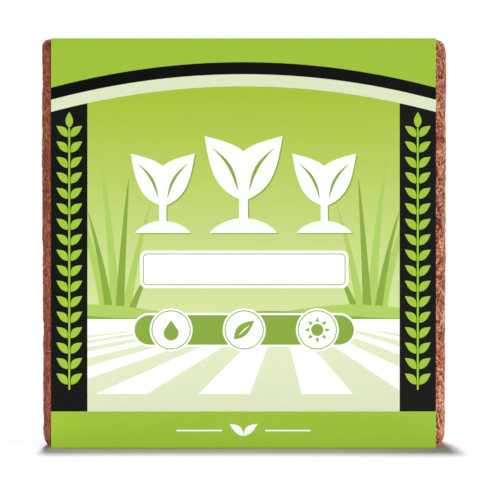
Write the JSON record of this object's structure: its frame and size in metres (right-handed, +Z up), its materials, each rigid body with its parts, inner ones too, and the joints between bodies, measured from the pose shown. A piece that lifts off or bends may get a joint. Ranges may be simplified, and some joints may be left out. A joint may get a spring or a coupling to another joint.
{
  "type": "coconut coir bale",
  "caption": "Pressed block of coconut coir in a printed card sleeve that leaves both ends bare, for soaking and loosening into a growing medium.",
  "frame": {"origin": "middle of the foot of the bale, on the surface it stands on", "axes": "+Z up the printed front, +X to the reader's right along the bale's width, -Y out of the printed front"},
  "size_m": [0.3008, 0.12, 0.305],
  "materials": {
    "coir": "pressed coconut pith and short fibre, dry, matt and rough",
    "card": "printed coated card, lime green, satin"
  },
  "bodies": {
    "root": {"coir_block": "coir", "card_sleeve": "card"}
  },
  "joints": []
}
